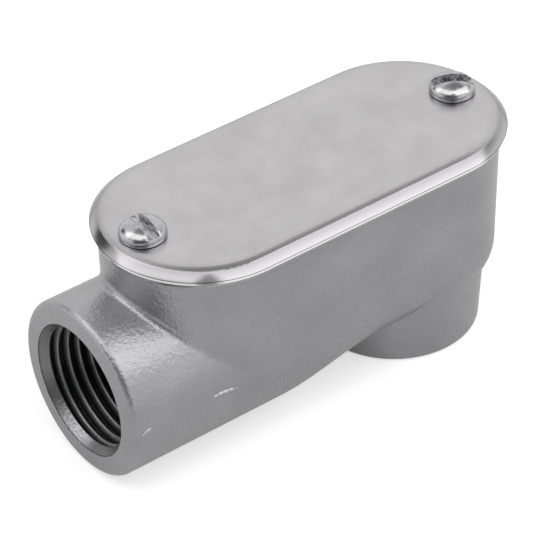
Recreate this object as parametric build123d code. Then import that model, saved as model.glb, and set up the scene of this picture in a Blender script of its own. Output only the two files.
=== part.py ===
from build123d import *
from math import cos, hypot, radians, sin, tan
import os

# A half-inch conduit body of the short elbow kind: one conduit comes in along the body
# and the other leaves through its back. Millimetres. The origin is the centre of the
# back hub's mouth, +Z points to the cover, and the run hub opens towards -X.

# Conduit threads, bored plain at their root
thread_root_radius = 10.6
hub_wall = 3.4               # metal round the run bore
throat_step = 2.6            # how much narrower the throat is than the bore
throat_round = 0.8
run_bore_depth = 14.2
run_throat_length = 2.65
back_bore_depth = 7.6
collar_height = 1.2          # smooth lip round the back throat, above the chamber's floor
collar_width = 1.6

# Casting
run_reach = 59.25            # back hub's axis to the run hub's face
run_stub = 7.6               # how far the run hub stands out from the body's near end
far_end_offset = 2.2         # back hub's axis to the centre of the body's round far end
rim_above_hub = 6.7          # top of the run hub to the rim that carries the gasket
side_draft = 0.35            # how much wider the body is at its rim, on each side
far_depth = 7.2              # run axis to the underside of the shallow far part
far_crown = 0.3              # how far that underside bulges below its rounded corners
belly_start = 29.75          # back hub's axis to where the trough starts to rise
belly_length = 17.5          # from there to where it has risen to the far part
back_mouth_step = 0.6        # how much smaller than the run hub the back hub's mouth is
back_hub_draft = 0.055       # growth of the back hub's radius for each mm of height
run_mouth_round = 1.2
back_mouth_round = 0.7
rim_round = 0.8
near_crease_round = 1.1      # where the run hub meets the round near end
crease_stop = 0.5            # how far short of the sides that fillet stops
wall = 2.4
shelf_cover = 2.4            # metal left over the run bore, under the near shelf

# Cover, a stamped sheet
cover_overhang = 1.8         # past the casting's rim, at the widest line of its own rim
cover_end_inset = 0.95       # cover's end centres inside the body's
cover_thickness = 1.15
rim_drop = 1.33              # flat top down to the widest line
rim_slope = 49.6             # degrees from upright
edge_height = 1.1            # cut edge of the sheet
edge_slope = 20.7
shoulder_round = 1.5
inner_bend_round = 0.6

# Gasket
gasket_thickness = 0.5
gasket_inset = 2.4           # inside the cover's widest line
window_inset = 2.7           # body's side to the gasket's window
window_to_screw = 5.45
window_corner = 5.0
seat_gap = 0.05

# Cover screws, number 8 with 32 threads to the inch
screw_inset = 6.0            # cover's widest line to the screw's axis
screw_radius = 2.08
head_radius = 3.55
head_height = 2.4
head_side_height = 0.6
slot_width = 2.0
slot_depth = 1.2
tip_chamfer = 0.5
near_slot_angle = 85.0
far_slot_angle = -32.0
running_gap = 0.05
cover_hole_gap = 0.27
boss_radius = 4.0
bore_cover = 1.5             # metal left between the near tapped hole and the run bore
screw_tip_gap = 1.1          # screw's tip to the bottom of its tapped hole

# Sizes and places worked out from those above
hub_radius = thread_root_radius + hub_wall
throat_radius = thread_root_radius - throat_step
back_mouth_radius = hub_radius - back_mouth_step
run_axis_z = hub_radius
rim_height = 2 * hub_radius + rim_above_hub
rim_radius = hub_radius + side_draft
far_x = far_end_offset
near_x = -run_reach + run_stub + rim_radius
mid_x = (near_x + far_x) / 2
body_end_spacing = far_x - near_x
far_corner = far_depth - far_crown
belly_end = belly_start - belly_length
floor_z = run_axis_z - far_depth + wall
chamber_near_x = -run_reach + run_bore_depth + run_throat_length
cover_radius = rim_radius + cover_overhang
cover_end_spacing = body_end_spacing - 2 * cover_end_inset
top_z = rim_height + seat_gap + gasket_thickness + cover_thickness
screw_spacing = cover_end_spacing + 2 * (cover_radius - screw_inset)
screw_x = {"near": mid_x - screw_spacing / 2, "far": mid_x + screw_spacing / 2}
tapped_depth = rim_above_hub + hub_wall - bore_cover
screw_length = tapped_depth - screw_tip_gap + (top_z - rim_height)


def stadium(spacing, radius, z):
    """Flat slot shape with round ends, centred on the middle of the body."""
    x0 = mid_x - spacing / 2
    x1 = mid_x + spacing / 2
    outline = Wire(
        [
            Line((x0, -radius, z), (x1, -radius, z)),
            ThreePointArc((x1, -radius, z), (x1 + radius, 0, z), (x1, radius, z)),
            Line((x1, radius, z), (x0, radius, z)),
            ThreePointArc((x0, radius, z), (x0 - radius, 0, z), (x0, -radius, z)),
        ]
    )
    return Face(outline)


def round_bar(x0, x1, radius):
    """Cylinder along the run axis between two places."""
    bar = Cylinder(radius, x1 - x0, rotation=(0, 90, 0))
    return Pos((x0 + x1) / 2, 0, run_axis_z) * bar


def belly_arcs(rise, inset):
    """Corner and bottom arcs of the lower section, from the deep trough (rise 0) to
    the shallow far part (rise 1), set in from the outside by a wall."""
    reach = hub_radius - far_corner
    lift = far_crown
    flatness = (reach**2 + lift**2) / (2 * lift)
    corner_radius = hub_radius - reach * rise - inset
    corner_y = reach * rise
    bottom_z = run_axis_z - corner_radius - lift * rise
    across = reach / flatness
    down = (flatness - lift) / flatness
    joint = (corner_y + corner_radius * across, run_axis_z - corner_radius * down)
    half = hypot(1 + across, down)
    middle = (
        corner_y + corner_radius * (1 + across) / half,
        run_axis_z - corner_radius * down / half,
    )
    return corner_y + corner_radius, middle, joint, bottom_z


def belly_section(x, rise, inset=0.0):
    """Lower half of the body's cross section at a place along the body."""
    side, middle, joint, bottom_z = belly_arcs(rise, inset)
    outline = Wire(
        [
            Line((x, -side, run_axis_z), (x, side, run_axis_z)),
            ThreePointArc((x, side, run_axis_z), (x, *middle), (x, *joint)),
            ThreePointArc((x, *joint), (x, 0, bottom_z), (x, -joint[0], joint[1])),
            ThreePointArc(
                (x, -joint[0], joint[1]), (x, -middle[0], middle[1]), (x, -side, run_axis_z)
            ),
        ]
    )
    return Face(outline)


def belly(inset=0.0, steps=7):
    """The trough's rise, the shallow far part and its round end, as one solid."""
    sections = []
    for step in range(steps + 1):
        share = step / steps
        rise = share**2 * (3 - 2 * share)
        x = -belly_start + (belly_start - belly_end) * share
        sections.append(belly_section(x, rise, inset))
    ramp = loft(sections)
    far_part = extrude(belly_section(-belly_end, 1.0, inset), far_x + belly_end, dir=(1, 0, 0))
    side, middle, joint, bottom_z = belly_arcs(1.0, inset)
    half_profile = Face(
        Wire(
            [
                Line((far_x, 0, run_axis_z), (far_x + side, 0, run_axis_z)),
                ThreePointArc(
                    (far_x + side, 0, run_axis_z),
                    (far_x + middle[0], 0, middle[1]),
                    (far_x + joint[0], 0, joint[1]),
                ),
                Line((far_x + joint[0], 0, joint[1]), (far_x, 0, joint[1])),
                Line((far_x, 0, joint[1]), (far_x, 0, run_axis_z)),
            ]
        )
    )
    far_end = revolve(half_profile, Axis((far_x, 0, 0), (0, 0, 1)))
    return ramp + far_part + far_end


def draft_prism(inset, z0, z1):
    """Upper body between two heights, a little wider towards the rim."""
    growth = side_draft / (rim_height - run_axis_z)
    low = hub_radius - inset + growth * (z0 - run_axis_z)
    high = hub_radius - inset + growth * (z1 - run_axis_z)
    return loft([stadium(body_end_spacing, low, z0), stadium(body_end_spacing, high, z1)], ruled=True)


def middle_slab(half_width):
    """Block that holds everything within a distance of the symmetry plane."""
    return Pos(mid_x, 0, 0) * Box(200, 2 * half_width, 200)


def upper_and_run_hub():
    """Upper body and run hub, with the crease between them filled out. The two meet
    smoothly at the sides, so the fillet stops just short of them."""
    upper = draft_prism(0, run_axis_z, rim_height)
    upper = fillet(upper.edges().group_by(Axis.Z)[-1], rim_round)
    run_hub = round_bar(-run_reach, -belly_start, hub_radius)
    run_hub = fillet(run_hub.edges().group_by(Axis.X)[0], run_mouth_round)
    joined = upper + run_hub
    slab = middle_slab(hub_radius - crease_stop)
    middle = joined & slab
    top_of_crease = Vector(near_x - hub_radius, 0, run_axis_z + hub_radius)
    crease = middle.edges().sort_by_distance(top_of_crease)[0]
    return fillet(crease, near_crease_round) + (joined - slab)


def back_hub():
    """Slightly tapered hub that runs up into the body."""
    straight_radius = hub_radius - 0.01
    taper_height = (straight_radius - back_mouth_radius) / back_hub_draft
    taper = Cone(
        back_mouth_radius,
        straight_radius,
        taper_height,
        align=(Align.CENTER, Align.CENTER, Align.MIN),
    )
    taper = fillet(taper.edges().group_by(Axis.Z)[0], back_mouth_round)
    straight = Pos(0, 0, taper_height) * Cylinder(
        straight_radius,
        run_axis_z + 0.5 - taper_height,
        align=(Align.CENTER, Align.CENTER, Align.MIN),
    )
    return taper + straight


def casting_outside():
    """The die casting's outer form, without any hollow."""
    return upper_and_run_hub() + belly() + back_hub()


def chamber():
    """The wiring chamber, open at the rim, with a shelf over the run bore and a
    column left standing at each end for the screws."""
    shelf_z = run_axis_z + thread_root_radius + shelf_cover
    top_z0 = rim_height + 1.0
    upper = draft_prism(wall, shelf_z, top_z0)
    lower = draft_prism(wall, run_axis_z, shelf_z)
    trough = round_bar(chamber_near_x, -belly_start, hub_radius - wall)
    hollow = lower + trough + belly(wall)
    keep = Pos(chamber_near_x, 0, 0) * Box(
        200, 200, 200, align=(Align.MIN, Align.CENTER, Align.CENTER)
    )
    hollow = (hollow & keep) + upper
    for name, x in screw_x.items():
        bottom = shelf_z - 1.0 if name == "near" else 0.0
        column = Pos(x, 0, bottom) * Cylinder(
            boss_radius, 60, align=(Align.CENTER, Align.CENTER, Align.MIN)
        )
        hollow -= column
    return hollow


def threaded_way(bore_depth, throat_end):
    """Cutter for a hub: the bore at the thread's root, then the narrower throat with
    a rounded lip where it opens into the chamber. Its mouth is at the origin."""
    lip = throat_radius + throat_round
    half_profile = Face(
        Wire(
            [
                Line((0, 0, -1), (thread_root_radius, 0, -1)),
                Line((thread_root_radius, 0, -1), (thread_root_radius, 0, bore_depth)),
                Line((thread_root_radius, 0, bore_depth), (throat_radius, 0, bore_depth)),
                Line(
                    (throat_radius, 0, bore_depth),
                    (throat_radius, 0, throat_end - throat_round),
                ),
                ThreePointArc(
                    (throat_radius, 0, throat_end - throat_round),
                    (
                        lip - throat_round * cos(radians(45)),
                        0,
                        throat_end - throat_round + throat_round * sin(radians(45)),
                    ),
                    (lip, 0, throat_end),
                ),
                Line((lip, 0, throat_end), (lip, 0, throat_end + 0.5)),
                Line((lip, 0, throat_end + 0.5), (0, 0, throat_end + 0.5)),
                Line((0, 0, throat_end + 0.5), (0, 0, -1)),
            ]
        )
    )
    return revolve(half_profile, Axis.Z)


def body_casting():
    """The one-piece die casting with both hubs, the chamber and the screw bosses."""
    solid = casting_outside() - chamber()
    collar = Pos(0, 0, floor_z - 1.0) * Cylinder(
        throat_radius + collar_width,
        collar_height + 1.0,
        align=(Align.CENTER, Align.CENTER, Align.MIN),
    )
    solid += collar
    run_depth = run_bore_depth + run_throat_length
    run_cutter = threaded_way(run_bore_depth, run_depth)
    solid -= Pos(-run_reach, 0, run_axis_z) * Rot(0, 90, 0) * run_cutter
    solid -= threaded_way(back_bore_depth, floor_z + collar_height)
    for x in screw_x.values():
        tapped = Pos(x, 0, rim_height + 1) * Cylinder(
            screw_radius + running_gap,
            tapped_depth + 1,
            align=(Align.CENTER, Align.CENTER, Align.MAX),
        )
        solid -= tapped
    return solid


def cover():
    """Stamped cover: a flat top, a soft shoulder, a sloping turned-down rim that ends
    in a bare cut edge, and two clearance holes."""
    widest_z = top_z - rim_drop
    edge_z = widest_z - edge_height
    low_radius = cover_radius - edge_height * tan(radians(edge_slope))
    top_radius = cover_radius - rim_drop * tan(radians(rim_slope))
    outer = loft(
        [
            stadium(cover_end_spacing, cover_radius, widest_z),
            stadium(cover_end_spacing, top_radius, top_z),
        ],
        ruled=True,
    )
    outer = fillet(outer.edges().group_by(Axis.Z)[-1], shoulder_round)
    skirt = loft(
        [
            stadium(cover_end_spacing, low_radius, edge_z),
            stadium(cover_end_spacing, cover_radius, widest_z),
        ],
        ruled=True,
    )
    under_z = top_z - cover_thickness
    under_radius = low_radius - (under_z - edge_z) * tan(radians(rim_slope))
    inside = loft(
        [
            stadium(cover_end_spacing, low_radius, edge_z),
            stadium(cover_end_spacing, under_radius, under_z),
        ],
        ruled=True,
    )
    inside = fillet(inside.edges().group_by(Axis.Z)[-1], inner_bend_round)
    sheet = outer + skirt - inside
    for x in screw_x.values():
        sheet -= Pos(x, 0, under_z) * Cylinder(screw_radius + cover_hole_gap, 4 * cover_thickness)
    return sheet


def gasket():
    """Flat frame of rubber sheet between the rim and the cover."""
    low_z = rim_height + seat_gap
    outline = stadium(cover_end_spacing, cover_radius - gasket_inset, low_z)
    window = Rectangle(screw_spacing - 2 * window_to_screw, 2 * (hub_radius - window_inset))
    window = fillet(window.vertices(), window_corner)
    frame = extrude(outline, gasket_thickness, dir=(0, 0, 1))
    frame -= Pos(mid_x, 0, low_z - 1) * extrude(window, gasket_thickness + 2)
    for x in screw_x.values():
        frame -= Pos(x, 0, low_z) * Cylinder(screw_radius + cover_hole_gap, 4 * gasket_thickness)
    return frame


def cover_screw(x, slot_angle):
    """Slotted round-head screw, its threads left plain at their crest."""
    half_profile = Face(
        Wire(
            [
                Line((0, 0, -screw_length), (screw_radius - tip_chamfer, 0, -screw_length)),
                Line(
                    (screw_radius - tip_chamfer, 0, -screw_length),
                    (screw_radius, 0, -screw_length + tip_chamfer),
                ),
                Line((screw_radius, 0, -screw_length + tip_chamfer), (screw_radius, 0, 0)),
                Line((screw_radius, 0, 0), (head_radius, 0, 0)),
                Line((head_radius, 0, 0), (head_radius, 0, head_side_height)),
                EllipticalCenterArc(
                    (0, head_side_height),
                    head_radius,
                    head_height - head_side_height,
                    start_angle=0,
                    arc_size=90,
                ).rotate(Axis.X, 90),
                Line((0, 0, head_height), (0, 0, -screw_length)),
            ]
        )
    )
    solid = revolve(half_profile, Axis.Z)
    slot = Pos(0, 0, head_height - slot_depth) * Box(
        4 * head_radius, slot_width, 2 * slot_depth, align=(Align.CENTER, Align.CENTER, Align.MIN)
    )
    solid -= Rot(0, 0, slot_angle) * slot
    return Pos(x, 0, top_z) * solid


os.makedirs("parts", exist_ok=True)
pieces = {
    "body_casting": body_casting(),
    "cover": cover(),
    "cover_gasket": gasket(),
    "near_cover_screw": cover_screw(screw_x["near"], near_slot_angle),
    "far_cover_screw": cover_screw(screw_x["far"], far_slot_angle),
}
for name, piece in pieces.items():
    export_step(piece, f"parts/{name}.step")
    print(name, round(piece.volume, 1))
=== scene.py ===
import bpy, bmesh, math
from mathutils import Matrix, Vector


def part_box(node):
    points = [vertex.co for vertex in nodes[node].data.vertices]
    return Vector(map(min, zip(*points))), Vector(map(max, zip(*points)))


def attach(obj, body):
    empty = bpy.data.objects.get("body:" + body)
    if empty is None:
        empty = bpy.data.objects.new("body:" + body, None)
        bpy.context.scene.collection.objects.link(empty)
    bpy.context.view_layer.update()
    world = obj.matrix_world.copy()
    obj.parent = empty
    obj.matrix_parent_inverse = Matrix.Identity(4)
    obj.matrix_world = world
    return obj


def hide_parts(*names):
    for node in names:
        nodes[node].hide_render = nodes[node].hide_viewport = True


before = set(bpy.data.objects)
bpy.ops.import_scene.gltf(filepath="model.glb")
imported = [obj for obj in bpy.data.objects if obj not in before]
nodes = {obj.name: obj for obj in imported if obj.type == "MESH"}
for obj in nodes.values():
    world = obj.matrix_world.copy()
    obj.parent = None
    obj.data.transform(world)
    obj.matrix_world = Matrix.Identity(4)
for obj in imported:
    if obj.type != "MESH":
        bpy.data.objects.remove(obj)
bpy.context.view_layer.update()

mm = 0.001
print("frame loaded:", ", ".join(sorted(nodes)))

# places that several pieces share
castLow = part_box("body_casting")[0]
coverLow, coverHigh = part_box("cover")
hubRadius = 14.0 * mm  # outside of the run hub
runAxisHeight = hubRadius  # its underside is level with the back hub's mouth
runFaceX = castLow[0]


# camera, as the photograph was taken

cameraView = {
    "azimuth": -36.71,  # degrees
    "elevation": 37.60,
    "roll": -1.463,
    "distance": 0.44312,
    "target": (-0.02296, 0.00142, 0.01768),
    "lens": 195.71,
    "sensorWidth": 36,
    "clip": (0.02, 20),
}


def makeCamera(spec):
    azimuth, elevation, roll = (math.radians(spec[name]) for name in ("azimuth", "elevation", "roll"))
    level = math.cos(elevation)
    back = Vector((math.sin(azimuth) * level, -math.cos(azimuth) * level, math.sin(elevation)))
    flatRight = Vector((math.cos(azimuth), math.sin(azimuth), 0))
    flatUp = back.cross(flatRight)
    right = flatRight * math.cos(roll) + flatUp * math.sin(roll)
    up = flatUp * math.cos(roll) - flatRight * math.sin(roll)
    data = bpy.data.cameras.new("camera")
    data.lens = spec["lens"]
    data.sensor_width = spec["sensorWidth"]
    data.clip_start, data.clip_end = spec["clip"]
    camera = bpy.data.objects.new("camera", data)
    place = Vector(spec["target"]) + back * spec["distance"]
    turn = Matrix((right, up, back)).transposed().to_4x4()
    camera.matrix_world = Matrix.Translation(place) @ turn
    bpy.context.collection.objects.link(camera)
    bpy.context.scene.camera = camera


makeCamera(cameraView)
bpy.context.scene.view_settings.view_transform = "Standard"
print("camera ready")


# node helpers

def setSocket(tree, socket, value):
    # another socket is linked, and a number or colour is set
    if isinstance(value, bpy.types.NodeSocket):
        tree.links.new(value, socket)
    else:
        socket.default_value = value


def addMath(tree, operation, *values):
    node = tree.nodes.new("ShaderNodeMath")
    node.operation = operation
    for socket, value in zip(node.inputs, values):
        setSocket(tree, socket, value)
    return node.outputs[0]


def addShares(tree, first, second, shares):
    # the sum of two values, each times its share
    rest = addMath(tree, "MULTIPLY", second, shares[1])
    return addMath(tree, "MULTIPLY_ADD", first, shares[0], rest)


def addRange(tree, value, fromLow, fromHigh, toLow=0.0, toHigh=1.0, kind="LINEAR"):
    node = tree.nodes.new("ShaderNodeMapRange")
    node.interpolation_type = kind
    tree.links.new(value, node.inputs["Value"])
    ends = {"From Min": fromLow, "From Max": fromHigh, "To Min": toLow, "To Max": toHigh}
    for label, number in ends.items():
        node.inputs[label].default_value = number
    return node.outputs["Result"]


def addMix(tree, factor, first, second):
    # numbers or sockets, blended as plain values
    node = tree.nodes.new("ShaderNodeMix")
    for index, value in ((0, factor), (2, first), (3, second)):
        setSocket(tree, node.inputs[index], value)
    return node.outputs[0]


def addBlend(tree, mask, first, second):
    # two colours or colour sockets, blended by a mask
    node = tree.nodes.new("ShaderNodeMix")
    node.data_type = "RGBA"
    tree.links.new(mask, node.inputs["Factor"])
    for label, value in (("A", first), ("B", second)):
        setSocket(tree, node.inputs[label], (*value, 1) if isinstance(value, tuple) else value)
    return node.outputs["Result"]


def addVector(tree, operation, vector, fixed=None):
    # gives a number for LENGTH and DOT_PRODUCT, else a vector
    node = tree.nodes.new("ShaderNodeVectorMath")
    node.operation = operation
    tree.links.new(vector, node.inputs[0])
    if fixed is not None:
        node.inputs[1].default_value = fixed
    return node.outputs["Value" if operation in ("LENGTH", "DOT_PRODUCT") else "Vector"]


def splitAxes(tree, vector):
    node = tree.nodes.new("ShaderNodeSeparateXYZ")
    tree.links.new(vector, node.inputs[0])
    return tuple(node.outputs)


def joinAxes(tree, x, y):
    node = tree.nodes.new("ShaderNodeCombineXYZ")
    tree.links.new(x, node.inputs["X"])
    tree.links.new(y, node.inputs["Y"])
    return node.outputs[0]


def objectCoords(tree):
    return tree.nodes.new("ShaderNodeTexCoord").outputs["Object"]


def rayMasks(tree):
    # rays from the camera, and rays that come off metal or through glass
    path = tree.nodes.new("ShaderNodeLightPath").outputs
    shiny = addMath(tree, "MAXIMUM", path["Is Glossy Ray"], path["Is Transmission Ray"])
    return path["Is Camera Ray"], shiny


# studio

studio = {
    "ambient": 0.50,  # what the world gives to matt surfaces
    "skyGlow": 1.0,  # what the camera sees past the floor
    "horizon": ((0.30, 1.12), (0.62, 0.45)),  # for reflections: sine of the height and tone, low and high
    "floorTone": 0.62,
    "floorRough": 0.9,
    "floorSpecular": 0.1,
    "floorGlow": 0.58,  # added for the camera
    "floorSheen": 0.18,  # added for reflections
    "floorSize": 6.0,
    "floorSegments": 24,
    "floorGap": 0.02 * mm,  # below the casting
    "target": (-0.02, 0, 0.02),  # what the softboxes face
}

# what shiny surfaces see of the room: toward, full width and end of the patch in degrees, its tone
roomPatches = {
    "backdrop": ((0.50, 0.62, 0.40), 34, 50, 1.05),
    "backdropLeft": ((-0.30, 0.72, 0.62), 20, 32, 0.95),
    "dimCeiling": ((0.26, 0.10, 0.96), 14, 27, 0.36),
    "cameraSide": ((-0.62, -0.62, 0.18), 24, 44, 0.14),
    "cameraHole": ((-0.52, -0.60, 0.50), 10, 20, 0.12),
    "darkStand": ((-0.36, 0.87, 0.37), 8, 14, 0.10),
}

softboxes = {
    "rightBox": {
        "toward": (0.34, -0.49, 0.79),
        "along": (1, 0, 0),  # the way its width runs
        "distance": 1.0,
        "width": 1.18,
        "height": 0.78,
        "radiance": 1.60,
    },
    "leftBox": {
        "toward": (-0.51, 0.12, 0.85),
        "along": (0.28, -0.93, 0.27),
        "distance": 1.0,
        "width": 1.28,
        "height": 0.66,
        "radiance": 1.38,
    },
}


def makeWorld(spec, patches):
    world = bpy.data.worlds.new("studioWorld")
    bpy.context.scene.world = world
    world.use_nodes = True
    tree = world.node_tree
    tree.nodes.clear()
    toward = tree.nodes.new("ShaderNodeTexCoord").outputs["Generated"]
    upward = splitAxes(tree, toward)[2]
    (lowSine, lowTone), (highSine, highTone) = spec["horizon"]
    room = addRange(tree, upward, lowSine, highSine, lowTone, highTone, "SMOOTHSTEP")
    for axis, full, end, tone in patches.values():
        nearness = addVector(tree, "DOT_PRODUCT", toward, Vector(axis).normalized())
        edge, core = math.cos(math.radians(end)), math.cos(math.radians(full))
        mask = addRange(tree, nearness, edge, core, kind="SMOOTHSTEP")
        room = addMix(tree, mask, room, tone)
    seen, shiny = rayMasks(tree)
    strength = addMix(tree, shiny, spec["ambient"], room)
    strength = addMix(tree, seen, strength, spec["skyGlow"])
    sky = tree.nodes.new("ShaderNodeBackground")
    sky.inputs["Color"].default_value = (1, 1, 1, 1)
    tree.links.new(strength, sky.inputs["Strength"])
    out = tree.nodes.new("ShaderNodeOutputWorld")
    tree.links.new(sky.outputs[0], out.inputs["Surface"])


def makeFloor(spec):
    mesh = bpy.data.meshes.new("studioFloor")
    form = bmesh.new()
    segments = spec["floorSegments"]
    bmesh.ops.create_grid(form, x_segments=segments, y_segments=segments, size=spec["floorSize"] / 2)
    form.to_mesh(mesh)
    form.free()
    floor = bpy.data.objects.new("studioFloor", mesh)
    floor.location = (0, 0, castLow[2] - spec["floorGap"])
    bpy.context.collection.objects.link(floor)
    material = bpy.data.materials.new("studioPaper")
    material.use_nodes = True
    tree = material.node_tree
    paper = tree.nodes["Principled BSDF"].inputs
    paper["Base Color"].default_value = (spec["floorTone"],) * 3 + (1,)
    paper["Roughness"].default_value = spec["floorRough"]
    paper["Specular IOR Level"].default_value = spec["floorSpecular"]
    paper["Emission Color"].default_value = (1, 1, 1, 1)
    seen, shiny = rayMasks(tree)
    glow = addMath(tree, "MULTIPLY", shiny, spec["floorSheen"])
    glow = addMix(tree, seen, glow, spec["floorGlow"])
    tree.links.new(glow, paper["Emission Strength"])
    mesh.materials.append(material)


def makeSoftbox(name, spec, target):
    data = bpy.data.lights.new(name, "AREA")
    data.shape = "RECTANGLE"
    data.size, data.size_y = spec["width"], spec["height"]
    data.energy = spec["radiance"] * math.pi * spec["width"] * spec["height"]
    toward = Vector(spec["toward"]).normalized()
    lamp = bpy.data.objects.new(name, data)
    along = Vector(spec["along"])
    across = (along - toward * along.dot(toward)).normalized()
    turn = Matrix((across, toward.cross(across), toward)).transposed().to_4x4()
    lamp.matrix_world = Matrix.Translation(Vector(target) + toward * spec["distance"]) @ turn
    bpy.context.collection.objects.link(lamp)


makeWorld(studio, roomPatches)
makeFloor(studio)
for boxName, boxSpec in softboxes.items():
    makeSoftbox(boxName, boxSpec, studio["target"])
print("studio ready")


# surface effects that more than one material uses: height for bump, tone for colour

castSkinLook = {
    "fineScale": 4200.0,
    "coarseScale": 1500.0,
    "cloudScale": 90.0,
    "fineNoise": (2.0, 0.6),  # detail and roughness
    "coarseNoise": (2.0, 0.5),
    "cloudNoise": (3.0, 0.55),
    "heightShares": (1.4, 0.7),  # coarse and fine
    "toneShares": (0.6, 0.4),  # cloud and fine
}

rolledSheenLook = {
    "lineScale": 900.0,
    "smudgeScale": 140.0,
    "lineNoise": (2.0, 0.6),
    "lineStretch": (0.25, 1.0, 1.0),
    "smudgeNoise": (5.0, 0.65),
    "heightShares": (2.0, 0.4),  # smudges and lines
    "toneShares": (0.12, 0.88),  # lines and smudges
}


def newGroup(name, inputs):
    group = bpy.data.node_groups.new(name, "ShaderNodeTree")
    for label, value in inputs.items():
        socket = group.interface.new_socket(name=label, in_out="INPUT", socket_type="NodeSocketFloat")
        socket.default_value = value
    for label in ("Height", "Tone"):
        group.interface.new_socket(name=label, in_out="OUTPUT", socket_type="NodeSocketFloat")
    start = group.nodes.new("NodeGroupInput").outputs
    end = group.nodes.new("NodeGroupOutput").inputs
    return group, start, end


def addNoise(tree, coords, scale, detail, rough, stretch=None):
    noise = tree.nodes.new("ShaderNodeTexNoise")
    noise.inputs["Detail"].default_value = detail
    noise.inputs["Roughness"].default_value = rough
    setSocket(tree, noise.inputs["Scale"], scale)
    if stretch:
        mapping = tree.nodes.new("ShaderNodeMapping")
        mapping.inputs["Scale"].default_value = stretch
        tree.links.new(coords, mapping.inputs["Vector"])
        coords = mapping.outputs["Vector"]
    tree.links.new(coords, noise.inputs["Vector"])
    return noise.outputs["Fac"]


def makeCastSkin(spec):
    # the fine orange-peel of tumbled die-cast metal
    group, start, end = newGroup("castSkin", {
        "Fine Scale": spec["fineScale"],
        "Coarse Scale": spec["coarseScale"],
        "Cloud Scale": spec["cloudScale"],
    })
    coords = objectCoords(group)
    fine = addNoise(group, coords, start["Fine Scale"], *spec["fineNoise"])
    coarse = addNoise(group, coords, start["Coarse Scale"], *spec["coarseNoise"])
    cloud = addNoise(group, coords, start["Cloud Scale"], *spec["cloudNoise"])
    group.links.new(addShares(group, coarse, fine, spec["heightShares"]), end["Height"])
    group.links.new(addShares(group, cloud, fine, spec["toneShares"]), end["Tone"])
    return group


def makeRolledSheen(spec):
    # smudges, a slight waviness and faint drawn lines of sheet metal
    group, start, end = newGroup("rolledSheen", {
        "Line Scale": spec["lineScale"],
        "Smudge Scale": spec["smudgeScale"],
    })
    coords = objectCoords(group)
    lines = addNoise(group, coords, start["Line Scale"], *spec["lineNoise"], spec["lineStretch"])
    smudge = addNoise(group, coords, start["Smudge Scale"], *spec["smudgeNoise"])
    group.links.new(addShares(group, smudge, lines, spec["heightShares"]), end["Height"])
    group.links.new(addShares(group, lines, smudge, spec["toneShares"]), end["Tone"])
    return group


castSkin = makeCastSkin(castSkinLook)
rolledSheen = makeRolledSheen(rolledSheenLook)


# material helpers

toneSpan = (0.35, 0.65)  # the part of a noise over which the colour changes
roughSpan = (0.3, 0.7)  # and the roughness


def newMaterial(name, spec):
    material = bpy.data.materials.new(name)
    material.use_nodes = True
    tree = material.node_tree
    surface = tree.nodes["Principled BSDF"].inputs
    surface["Metallic"].default_value = spec["metallic"]
    surface["Specular IOR Level"].default_value = spec.get("specular", 0.5)
    return material, tree, surface


def addGroup(tree, group, values=None):
    node = tree.nodes.new("ShaderNodeGroup")
    node.node_tree = group
    for label, number in (values or {}).items():
        node.inputs[label].default_value = number
    return node.outputs


def addTones(tree, mask, dark, light, span=toneSpan):
    ramp = tree.nodes.new("ShaderNodeValToRGB")
    for element, position, tone in zip(ramp.color_ramp.elements, span, (dark, light)):
        element.position = position
        element.color = (*tone, 1)
    tree.links.new(mask, ramp.inputs["Fac"])
    return ramp.outputs["Color"]


def addBump(tree, height, strength, distance):
    bump = tree.nodes.new("ShaderNodeBump")
    bump.inputs["Strength"].default_value = strength
    bump.inputs["Distance"].default_value = distance
    tree.links.new(height, bump.inputs["Height"])
    return bump.outputs["Normal"]


# mesh helpers

def finishNode(node, material):
    mesh = nodes[node].data
    mesh.materials.clear()
    mesh.materials.append(material)


def addPiece(name, form, material, body=None, replaced=None, place=None):
    mesh = bpy.data.meshes.new(name)
    form.to_mesh(mesh)
    form.free()
    piece = bpy.data.objects.new(name, mesh)
    if place is not None:
        piece.matrix_world = place
    bpy.context.collection.objects.link(piece)
    mesh.materials.append(material)
    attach(piece, body)
    if replaced:
        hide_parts(replaced)
    return piece


def ringAngles(count):
    return [2 * math.pi * step / count for step in range(count)]


def addRing(form, axisX, radii, angles, height):
    # one vertex at each angle, round an upright axis
    return [
        form.verts.new((axisX + radius * math.cos(angle), radius * math.sin(angle), height))
        for radius, angle in zip(radii, angles)
    ]


def joinRings(form, rings, closed=False):
    # quads between neighbouring rings of equal count
    pairs = zip(rings, rings[1:] + rings[:1]) if closed else zip(rings, rings[1:])
    for first, second in pairs:
        count = len(first)
        for step in range(count):
            after = (step + 1) % count
            form.faces.new((first[step], first[after], second[after], second[step]))


def smoothForm(form):
    bmesh.ops.recalc_face_normals(form, faces=form.faces)
    for face in form.faces:
        face.smooth = True


threadFlat = 0.12  # share of each flank that stays flat, at the crest and at the root


def threadCut(turns):
    # 0 on the crest, at whole turns, and 1 in the root
    share = abs(((turns + 0.5) % 1.0) - 0.5) * 2
    return min(1.0, max(0.0, (share - threadFlat) / (1 - 2 * threadFlat)))


# casting

casting = {
    "metallic": 0.70,
    "darkTone": (0.325, 0.325, 0.333),
    "lightTone": (0.395, 0.395, 0.404),
    "rough": (0.21, 0.30),
    "bump": 1.0,
    "bumpDepth": 0.06 * mm,
}


def makeCastMetal(spec):
    material, tree, surface = newMaterial("castMetal", spec)
    skin = addGroup(tree, castSkin)
    grey = addTones(tree, skin["Tone"], spec["darkTone"], spec["lightTone"])
    rough = addRange(tree, skin["Tone"], *roughSpan, *spec["rough"])
    normal = addBump(tree, skin["Height"], spec["bump"], spec["bumpDepth"])
    tree.links.new(grey, surface["Base Color"])
    tree.links.new(rough, surface["Roughness"])
    tree.links.new(normal, surface["Normal"])
    return material


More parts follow.
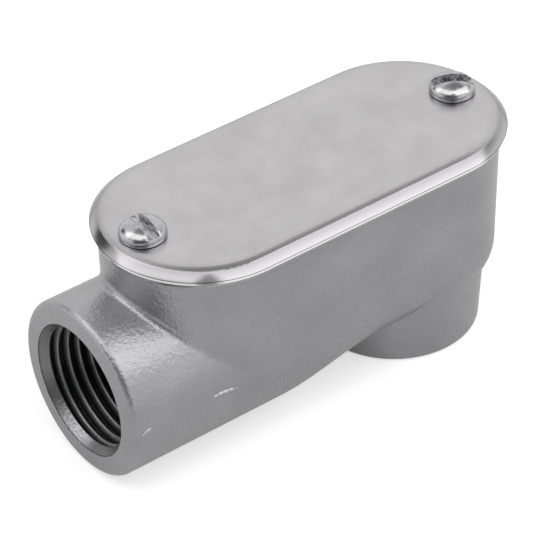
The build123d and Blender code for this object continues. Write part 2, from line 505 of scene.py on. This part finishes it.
finishNode("body_casting", makeCastMetal(casting))
print("casting dressed")


# conduit threads, cut in both hubs

conduitThread = {
    "runLength": 14.19 * mm,
    "backLength": 7.59 * mm,
    "pitch": 25.4 / 14 * mm,
    "rootRadius": 10.56 * mm,
    "crestRadius": 9.62 * mm,
    "taper": 1 / 32,
    "chamferDepth": 1.45 * mm,
    "wallRadius": 10.59 * mm,
    "rowsPerPitch": 20,
    "aroundSteps": 180,
    "firstCrest": 2.5 * mm,
    "metallic": 0.8,
    # painted shade: the thread's roots go near black
    "rootShadeTone": (0.025, 0.025, 0.027),
    "crestTone": (0.25, 0.25, 0.255),
    "shadeRadii": (10.45 * mm, 9.65 * mm),  # from the root's painted shade to the crest's tone
    "shadePower": 1.6,
    "lipTone": (0.22, 0.22, 0.225),
    "lipDepths": (1.5 * mm, 1.4 * mm),  # from the thread's tones to the chamfer's
    "lipDark": (0.05, 0.05, 0.052),
    "darkDepths": (0.22 * mm, 0.05 * mm),  # the dark outer line of the chamfer: faint and full
    "darkSpeckle": (0.35, 0.5),  # the part of the speckle over which it comes in
    "glintTone": (0.40, 0.40, 0.41),
    "glintToward": (0.93, 0.36, 0.0),  # the way a speckled painted glint faces, on a torn place of the chamfer's cut
    "glintSpan": (0.86, 0.98),  # cosines of how far it reaches to the sides
    "glintSpeckle": (0.40, 0.62),
    "speckleNoise": (2600.0, 3.0, 0.7),  # scale, detail and roughness
    "rough": (0.28, 0.40),
    "bump": 1.0,
    "bumpDepth": 0.05 * mm,
}


def makeThreadSleeve(name, length, place, spec, material):
    # inner skin with the helix and an outer skin against the bore; local Z runs into the hub
    pitch, root, chamfer = spec["pitch"], spec["rootRadius"], spec["chamferDepth"]
    rows = math.ceil(length / pitch * spec["rowsPerPitch"])
    around = spec["aroundSteps"]
    angles = ringAngles(around)
    form = bmesh.new()
    rings = []
    for row in range(rows + 1):
        depth = length * row / rows
        if depth < chamfer:
            mouth = root - (root - spec["crestRadius"]) * depth / chamfer
            radii = [mouth] * around
        else:
            crest = spec["crestRadius"] - depth * spec["taper"]
            turns = (depth - spec["firstCrest"]) / pitch
            cuts = [threadCut(turns - angle / (2 * math.pi)) for angle in angles]
            radii = [crest + (root - crest) * cut for cut in cuts]
        rings.append(addRing(form, 0, radii, angles, depth))
    for depth in (length, 0.0):
        rings.append(addRing(form, 0, [spec["wallRadius"]] * around, angles, depth))
    joinRings(form, rings, closed=True)
    smoothForm(form)
    addPiece(name, form, material, "casting", place=place)


def makeThreadMetal(spec):
    # grey crests over roots darkened as painted shade, and a chamfer with a dark outer line and a
    # speckled painted glint on a torn place
    material, tree, surface = newMaterial("threadMetal", spec)
    skin = addGroup(tree, castSkin)
    coords = objectCoords(tree)
    x, y, depth = splitAxes(tree, coords)
    outward = joinAxes(tree, x, y)
    crest = addRange(tree, addVector(tree, "LENGTH", outward), *spec["shadeRadii"])
    crest = addMath(tree, "POWER", crest, spec["shadePower"])
    threadToneAndRootShade = addBlend(tree, crest, spec["rootShadeTone"], spec["crestTone"])

    speckle = addNoise(tree, coords, *spec["speckleNoise"])
    # painted glint, toward one side of the hub, broken up by the speckle
    sideways = addVector(tree, "NORMALIZE", outward)
    glint = addVector(tree, "DOT_PRODUCT", sideways, Vector(spec["glintToward"]).normalized())
    glint = addRange(tree, glint, *spec["glintSpan"], kind="SMOOTHSTEP")
    glint = addMath(tree, "MULTIPLY", glint, addRange(tree, speckle, *spec["glintSpeckle"]))
    dark = addRange(tree, depth, *spec["darkDepths"])
    dark = addMath(tree, "MULTIPLY", dark, addRange(tree, speckle, *spec["darkSpeckle"]))
    lipTone = addBlend(tree, glint, spec["lipTone"], spec["glintTone"])
    lipTone = addBlend(tree, dark, lipTone, spec["lipDark"])

    lip = addRange(tree, depth, *spec["lipDepths"])
    rough = addRange(tree, skin["Tone"], *roughSpan, *spec["rough"])
    normal = addBump(tree, skin["Height"], spec["bump"], spec["bumpDepth"])
    tree.links.new(addBlend(tree, lip, threadToneAndRootShade, lipTone), surface["Base Color"])
    tree.links.new(rough, surface["Roughness"])
    tree.links.new(normal, surface["Normal"])
    return material


threadMetal = makeThreadMetal(conduitThread)
runPlace = Matrix.Translation((runFaceX, 0, runAxisHeight)) @ Matrix.Rotation(math.radians(90), 4, "Y")
backPlace = Matrix.Identity(4)
makeThreadSleeve("run_hub_thread", conduitThread["runLength"], runPlace, conduitThread, threadMetal)
makeThreadSleeve("back_hub_thread", conduitThread["backLength"], backPlace, conduitThread, threadMetal)
print("threads cut")


# parting-line burrs on the side of the run hub

burrs = {
    "marks": (  # along the hub and round it: millimetres from the origin, degrees above the level line
        ((-58.2, -0.4), (-57.2, 1.4), (-56.0, 2.6)),
        ((-46.2, 1.4), (-43.2, 3.0), (-40.3, -0.8)),
    ),
    "radius": 0.34 * mm,
    "sink": 0.14 * mm,  # how deep its middle lies in the hub
    "endShare": 0.15,  # of the radius
    "lumps": 0.25,  # how much the radius wavers, as a share
    "lumpTurn": 37,  # radians of the wave from end to end
    "lengthSteps": 24,
    "aroundSteps": 10,
    "metallic": 0.9,
    "darkTone": (0.40, 0.40, 0.41),
    "lightTone": (0.75, 0.75, 0.76),
    "rough": 0.30,
    "bump": 1.0,
    "bumpDepth": 0.06 * mm,
}


def makeFreshMetal(spec):
    material, tree, surface = newMaterial("freshMetal", spec)
    skin = addGroup(tree, castSkin)
    bright = addTones(tree, skin["Tone"], spec["darkTone"], spec["lightTone"])
    normal = addBump(tree, skin["Height"], spec["bump"], spec["bumpDepth"])
    tree.links.new(bright, surface["Base Color"])
    surface["Roughness"].default_value = spec["rough"]
    tree.links.new(normal, surface["Normal"])
    return material


def makeBurr(name, marks, spec, material):
    # a lumpy bead along a curve through the marks
    path = []
    for along, angle in marks:
        turn = math.radians(angle)
        out = Vector((0, -math.cos(turn), math.sin(turn)))
        path.append(Vector((along * mm, 0, runAxisHeight)) + out * (hubRadius - spec["sink"]))
    form = bmesh.new()
    rings = []
    for step in range(spec["lengthSteps"] + 1):
        share = step / spec["lengthSteps"]
        first = path[0].lerp(path[1], share)
        second = path[1].lerp(path[2], share)
        centre = first.lerp(second, share)
        swell = spec["endShare"] + (1 - spec["endShare"]) * math.sin(math.pi * share)
        thick = spec["radius"] * swell * (1 + spec["lumps"] * math.sin(spec["lumpTurn"] * share))
        ahead = (second - first).normalized()
        out = Vector((0, centre.y, centre.z - runAxisHeight)).normalized()
        side = ahead.cross(out).normalized()
        rings.append([
            form.verts.new(centre + (side * math.cos(angle) + out * math.sin(angle)) * thick)
            for angle in ringAngles(spec["aroundSteps"])
        ])
    joinRings(form, rings)
    form.faces.new(rings[0])
    form.faces.new(rings[-1])
    smoothForm(form)
    addPiece(name, form, material, "casting")


freshMetal = makeFreshMetal(burrs)
for index, marks in enumerate(burrs["marks"]):
    makeBurr(f"parting_burr_{index + 1}", marks, burrs, freshMetal)
print("burrs made")


# cover

coverSheet = {
    "metallic": 1.0,
    "darkTone": (0.470, 0.460, 0.468),
    "lightTone": (0.540, 0.530, 0.538),
    # painted shade: the shoulder and the upper slope get a darker tone than the sheet
    "paintedShoulderShade": (0.30, 0.294, 0.30),
    "rimTone": (0.45, 0.442, 0.45),
    "edgeTone": (0.42, 0.415, 0.42),
    # dirt and painted shadow: a thin dark line where the slope meets the cut edge
    "dirtAndShadowLineTone": (0.14, 0.14, 0.142),
    "rough": (0.28, 0.18),  # flat top and rim
    "rimStart": 0.04 * mm,  # this and the next three are below the flat top
    "rimFull": 0.4 * mm,
    "slopeStart": 0.3 * mm,
    "rimDrop": 1.33 * mm,  # the widest line of the rim
    "edgeStart": 0.02 * mm,  # this and the next are below the widest line
    "edgeFull": 0.10 * mm,
    "dirtAndShadowLineWidths": (0.09 * mm, 0.03 * mm),  # to each side of it: faint and full
    "rollShade": 0.30,  # how much of the painted shoulder shade shows where the top bows
    "rollStart": 12.9,  # where the flat top begins to bow, in mm from the middle line
    "rollWidth": 1.6,  # all from here on is in mm, as the relief is
    "rollBow": 0.044,  # drop 1 mm past the start
    "rimBulge": 0.063,  # how far the middle of the slope stands out
    "lipDepth": 0.55,  # how far down the cut edge is rounded over
    "lipTilt": 2.4,  # rise for each mm of it
    "sheenHeight": 0.0025,
}


def distanceFromMiddle(tree, x, y):
    # the middle line ends at the centres of the cover's two round ends
    endRadius = coverHigh[1]
    inside = addMath(tree, "MAXIMUM", x, coverLow[0] + endRadius)
    inside = addMath(tree, "MINIMUM", inside, coverHigh[0] - endRadius)
    return addVector(tree, "LENGTH", joinAxes(tree, addMath(tree, "SUBTRACT", x, inside), y))


def makeCoverMetal(spec):
    material, tree, surface = newMaterial("coverMetal", spec)
    sheen = addGroup(tree, rolledSheen)
    x, y, height = splitAxes(tree, objectCoords(tree))
    top = coverHigh[2]
    line = top - spec["rimDrop"]
    lipStart = line - spec["edgeStart"]
    rollStart, rollEnd = spec["rollStart"] * mm, (spec["rollStart"] + spec["rollWidth"]) * mm
    roll = addRange(tree, distanceFromMiddle(tree, x, y), rollStart, rollEnd)
    roll = addMath(tree, "MULTIPLY", roll, roll)
    rim = addRange(tree, height, top - spec["rimStart"], top - spec["rimFull"])

    # tones of the top, the slope and the cut edge; painted shade darkens the shoulder and the upper
    # slope, and a thin dark line of dirt and painted shadow lies between the slope and the cut edge
    slope = addRange(tree, height, top - spec["slopeStart"], line)
    paintedSlopeShade = addBlend(tree, slope, spec["paintedShoulderShade"], spec["rimTone"])
    edge = addRange(tree, height, lipStart, line - spec["edgeFull"])
    fromLine = addMath(tree, "ABSOLUTE", addMath(tree, "SUBTRACT", height, line))
    # dirt and painted shadow in a thin dark line along the widest line
    dirtAndShadowLine = addRange(tree, fromLine, *spec["dirtAndShadowLineWidths"])
    shade = addMath(tree, "MULTIPLY", roll, spec["rollShade"])
    tones = addTones(tree, sheen["Tone"], spec["darkTone"], spec["lightTone"])
    tones = addBlend(tree, shade, tones, spec["paintedShoulderShade"])
    tones = addBlend(tree, rim, tones, paintedSlopeShade)
    tones = addBlend(tree, edge, tones, spec["edgeTone"])
    tones = addBlend(tree, dirtAndShadowLine, tones, spec["dirtAndShadowLineTone"])

    # relief of the smudges, the slope, the bowing top and the rounded top of the cut edge
    share = addRange(tree, height, top, line, -1.0, 1.0)
    bulge = addMath(tree, "MULTIPLY", addMath(tree, "MULTIPLY", share, share), -spec["rimBulge"])
    bow = addMath(tree, "MULTIPLY", roll, -spec["rollBow"] * spec["rollWidth"] ** 2)
    lipEnd = lipStart - spec["lipDepth"] * mm
    lip = addRange(tree, height, lipStart, lipEnd, 0.0, spec["lipDepth"] * spec["lipTilt"])
    relief = addMath(tree, "MULTIPLY_ADD", sheen["Height"], spec["sheenHeight"], bulge)
    relief = addMath(tree, "ADD", relief, bow)
    relief = addMath(tree, "ADD", relief, lip)

    tree.links.new(tones, surface["Base Color"])
    tree.links.new(addRange(tree, rim, 0.0, 1.0, *spec["rough"]), surface["Roughness"])
    tree.links.new(addBump(tree, relief, 1.0, mm), surface["Normal"])
    return material


finishNode("cover", makeCoverMetal(coverSheet))
print("cover dressed")


# gasket

gasketRubber = {
    "metallic": 0.0,
    "specular": 0.4,
    "darkTone": (0.018, 0.018, 0.018),
    "lightTone": (0.035, 0.035, 0.034),
    "fineScale": 2500.0,
    "rough": (0.6, 0.8),
}


def makeGasketRubber(spec):
    material, tree, surface = newMaterial("gasketRubber", spec)
    tone = addGroup(tree, castSkin, {"Fine Scale": spec["fineScale"]})["Tone"]
    tree.links.new(addTones(tree, tone, spec["darkTone"], spec["lightTone"]), surface["Base Color"])
    tree.links.new(addRange(tree, tone, *roughSpan, *spec["rough"]), surface["Roughness"])
    return material


finishNode("cover_gasket", makeGasketRubber(gasketRubber))
print("gasket dressed")


# cover screws, threaded and slotted

coverScrew = {
    "places": (  # piece, CAD node, body and turn of the slot in degrees
        ("near_screw_detail", "near_cover_screw", "near_screw", 85.0),
        ("far_screw_detail", "far_cover_screw", "far_screw", -32.0),
    ),
    "pitch": 25.4 / 32 * mm,
    "crestRadius": 2.07 * mm,
    "rootRadius": 1.58 * mm,
    "tipChamfer": 0.5 * mm,
    "headRadius": 3.55 * mm,
    "headHeight": 2.4 * mm,
    "sideHeight": 0.6 * mm,
    "edgeRound": 0.18 * mm,
    "slotWidth": 2.0 * mm,
    "slotDepth": 1.2 * mm,
    "slotTouch": 0.01 * mm,  # how near to the cut a face counts as the slot's
    "bevelWidth": 0.07 * mm,
    "bevelAngle": 40,
    "bevelSegments": 2,
    "aroundSteps": 96,
    "rowsPerPitch": 12,
    "edgeSteps": 5,
    "domeSteps": 30,
    "metallic": 1.0,
    "darkTone": (0.36, 0.36, 0.37),
    "lightTone": (0.55, 0.55, 0.56),
    "smudgeScale": 600.0,
    # painted shadow: the screw goes near black just above and below the cover's face
    "underHeadShadowTone": (0.04, 0.04, 0.042),
    "gapAbove": (0.16 * mm, 0.08 * mm),  # above the cover: where the painted shadow starts and is full
    "gapBelow": 0.016 * mm,
    "rough": (0.15, 0.25),
    "bump": 0.5,
    "bumpDepth": 0.02 * mm,
    # dark streaks of tool marks and of painted shade in the slot
    "slotStreakAndShadeDark": (0.19, 0.19, 0.194),
    "slotLight": (0.64, 0.64, 0.65),
    "slotSpan": (0.38, 0.62),
    "streakNoise": (2400.0, 3.0, 0.6, (1.0, 0.35, 0.6)),  # scale, detail, roughness and stretch
    "slotRough": (0.25, 0.45),
    "slotBump": 1.0,
    "slotBumpDepth": 0.04 * mm,
}


def headProfile(spec):
    # radius and rise, from under the head, round its edge and over the dome
    radius, side, edge = spec["headRadius"], spec["sideHeight"], spec["edgeRound"]
    points = [(spec["crestRadius"], 0.0), (radius - edge, 0.0)]
    for step in range(1, spec["edgeSteps"] + 1):
        turn = math.radians(90 * step / spec["edgeSteps"])
        points.append((radius - edge + edge * math.sin(turn), edge - edge * math.cos(turn)))
    for step in range(spec["domeSteps"]):
        turn = math.radians(90 * step / spec["domeSteps"])
        points.append((radius * math.cos(turn), side + (spec["headHeight"] - side) * math.sin(turn)))
    return points


def makeScrew(name, node, body, slotTurn, spec, plating, slotMetal):
    low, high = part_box(node)
    axisX = (low[0] + high[0]) / 2
    tip, seat = low[2], coverHigh[2]
    length = seat - tip
    crest, root = spec["crestRadius"], spec["rootRadius"]
    rows = math.ceil(length / spec["pitch"] * spec["rowsPerPitch"])
    around = spec["aroundSteps"]
    angles = ringAngles(around)
    form = bmesh.new()
    rings = []
    for row in range(rows):
        height = tip + length * row / rows
        turns = (height - tip) / spec["pitch"]
        blunt = crest - spec["tipChamfer"] + (height - tip)
        cuts = [threadCut(turns - angle / (2 * math.pi)) for angle in angles]
        radii = [min(crest - (crest - root) * cut, blunt) for cut in cuts]
        rings.append(addRing(form, axisX, radii, angles, height))
    for radius, rise in headProfile(spec):
        rings.append(addRing(form, axisX, [radius] * around, angles, seat + rise))
    joinRings(form, rings)
    for ring, height in ((rings[0], tip), (rings[-1], seat + spec["headHeight"])):
        centre = form.verts.new((axisX, 0, height))
        for step in range(around):
            form.faces.new((ring[step], ring[(step + 1) % around], centre))
    smoothForm(form)
    piece = addPiece(name, form, plating, body, replaced=node)
    cutSlot(piece, axisX, seat, math.radians(slotTurn), spec, slotMetal)


def cutSlot(piece, axisX, seat, turn, spec, slotMetal):
    width = spec["slotWidth"]
    floor = seat + spec["headHeight"] - spec["slotDepth"]
    reach, rise = 4 * spec["headRadius"], 2 * spec["slotDepth"]  # past the head on all sides
    cutter = bmesh.new()
    bmesh.ops.create_cube(cutter, size=1.0)
    place = Matrix.Translation((axisX, 0, floor + rise / 2)) @ Matrix.Rotation(turn, 4, "Z")
    place = place @ Matrix.Diagonal((reach, width, rise, 1))
    bmesh.ops.transform(cutter, matrix=place, verts=cutter.verts)
    cutMesh = bpy.data.meshes.new(piece.name + "_cutter")
    cutter.to_mesh(cutMesh)
    cutter.free()
    tool = bpy.data.objects.new(cutMesh.name, cutMesh)
    bpy.context.collection.objects.link(tool)
    modifier = piece.modifiers.new("slot", "BOOLEAN")
    modifier.operation = "DIFFERENCE"
    modifier.object = tool
    modifier.solver = "EXACT"
    bpy.context.view_layer.update()
    cut = bpy.data.meshes.new_from_object(piece.evaluated_get(bpy.context.evaluated_depsgraph_get()))
    piece.modifiers.clear()
    piece.data = cut
    bpy.data.objects.remove(tool)
    # the slot's walls and floor get their own metal, partly darkened as painted shade
    cut.materials.append(slotMetal)
    across = Vector((-math.sin(turn), math.cos(turn), 0))
    touch = spec["slotTouch"]
    for face in cut.polygons:
        aside = abs((face.center - Vector((axisX, 0, 0))).dot(across))
        if aside < width / 2 + touch and face.center.z > floor - touch:
            face.material_index = 1
    bevel = piece.modifiers.new("edges", "BEVEL")
    bevel.width = spec["bevelWidth"]
    bevel.segments = spec["bevelSegments"]
    bevel.limit_method = "ANGLE"
    bevel.angle_limit = math.radians(spec["bevelAngle"])
    bevel.use_clamp_overlap = True


def makeScrewPlating(spec):
    material, tree, surface = newMaterial("screwPlating", spec)
    sheen = addGroup(tree, rolledSheen, {"Smudge Scale": spec["smudgeScale"]})
    plating = addTones(tree, sheen["Tone"], spec["darkTone"], spec["lightTone"])
    # painted shadow in the gap under the head
    height = splitAxes(tree, objectCoords(tree))[2]
    seat = coverHigh[2]
    start, full = spec["gapAbove"]
    gap = addRange(tree, height, seat + start, seat + full)
    gap = addMath(tree, "MULTIPLY", gap, addRange(tree, height, seat - spec["gapBelow"], seat))
    rough = addRange(tree, sheen["Tone"], *roughSpan, *spec["rough"])
    normal = addBump(tree, sheen["Height"], spec["bump"], spec["bumpDepth"])
    tree.links.new(addBlend(tree, gap, plating, spec["underHeadShadowTone"]), surface["Base Color"])
    tree.links.new(rough, surface["Roughness"])
    tree.links.new(normal, surface["Normal"])
    return material


def makeSlotMetal(spec):
    # streaks that the driver and the slotting saw left; the dark streaks also stand in for painted shade
    # in the slot
    material, tree, surface = newMaterial("slotMetal", spec)
    streaks = addNoise(tree, objectCoords(tree), *spec["streakNoise"])
    tones = addTones(tree, streaks, spec["slotStreakAndShadeDark"], spec["slotLight"], spec["slotSpan"])
    rough = addRange(tree, streaks, *roughSpan, *spec["slotRough"])
    normal = addBump(tree, streaks, spec["slotBump"], spec["slotBumpDepth"])
    tree.links.new(tones, surface["Base Color"])
    tree.links.new(rough, surface["Roughness"])
    tree.links.new(normal, surface["Normal"])
    return material


screwPlating = makeScrewPlating(coverScrew)
slotMetal = makeSlotMetal(coverScrew)
for name, node, body, slotTurn in coverScrew["places"]:
    makeScrew(name, node, body, slotTurn, coverScrew, screwPlating, slotMetal)
print("screws made")
